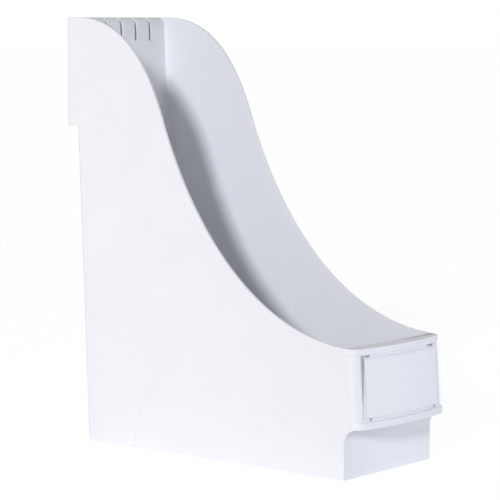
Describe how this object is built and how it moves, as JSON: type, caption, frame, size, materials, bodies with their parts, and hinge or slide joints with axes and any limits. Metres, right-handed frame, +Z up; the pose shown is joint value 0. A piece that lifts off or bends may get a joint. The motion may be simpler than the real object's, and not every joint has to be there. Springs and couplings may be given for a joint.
{
  "type": "magazine file holder",
  "caption": "Open-topped upright plastic box with swept side walls for filing magazines on a shelf, with a covered label at its low front and a hooked grip along its back.",
  "frame": {"origin": "middle of the footprint's bounding box, on the surface that the holder stands on", "axes": "+Z up, -Y out of the low label front, +X to the right of someone facing the label"},
  "size_m": [0.1, 0.2726, 0.3076],
  "materials": {
    "moulded_body": "moulded satin, slightly glossy",
    "clear_cover": "clear, polished mould",
    "card": "matt paper card"
  },
  "bodies": {
    "holder": {"holder_body": "moulded_body"},
    "label_cover": {"label_cover": "clear_cover"},
    "label_card": {"label_card": "card"}
  },
  "joints": [
    {"name": "cover_pull", "type": "slide", "parent": "holder", "child": "label_cover", "axis": [0, -1, 0], "range_m": [0, 0.03]},
    {"name": "card_slide", "type": "hinge", "parent": "holder", "child": "label_card", "pos_m": [0, 0.08266, 0.06207], "axis": [0, 0, 1], "range_deg": [-24, 24]}
  ]
}
